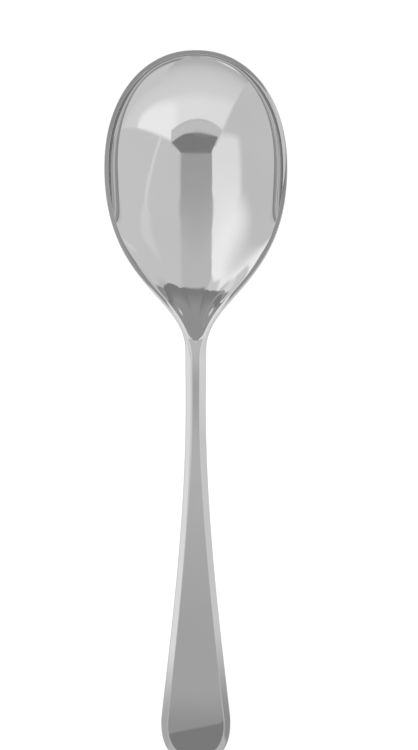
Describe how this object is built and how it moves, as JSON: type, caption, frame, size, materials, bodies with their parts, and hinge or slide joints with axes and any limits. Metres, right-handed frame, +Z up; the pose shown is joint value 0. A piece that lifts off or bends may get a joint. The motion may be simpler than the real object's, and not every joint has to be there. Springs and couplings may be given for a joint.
{
  "type": "serving spoon",
  "caption": "Plain polished metal serving spoon with a broad egg-shaped bowl and an arched, bevelled handle that widens to a rounded, turned-down end.",
  "frame": {"origin": "on the surface that the spoon lies on, under the middle of its length and width", "axes": "+Y along the spoon from the handle towards the tip of the bowl, +Z up out of the open bowl, +X to the right seen from above with the tip away"},
  "size_m": [0.0592, 0.23, 0.0183],
  "materials": {
    "polished_steel": "mirror-polished stainless steel with fine wipe marks and faint smudges"
  },
  "bodies": {
    "root": {"bowl": "polished_steel", "neck": "polished_steel", "stem": "polished_steel", "handle": "polished_steel", "handle_end": "polished_steel"}
  },
  "joints": []
}
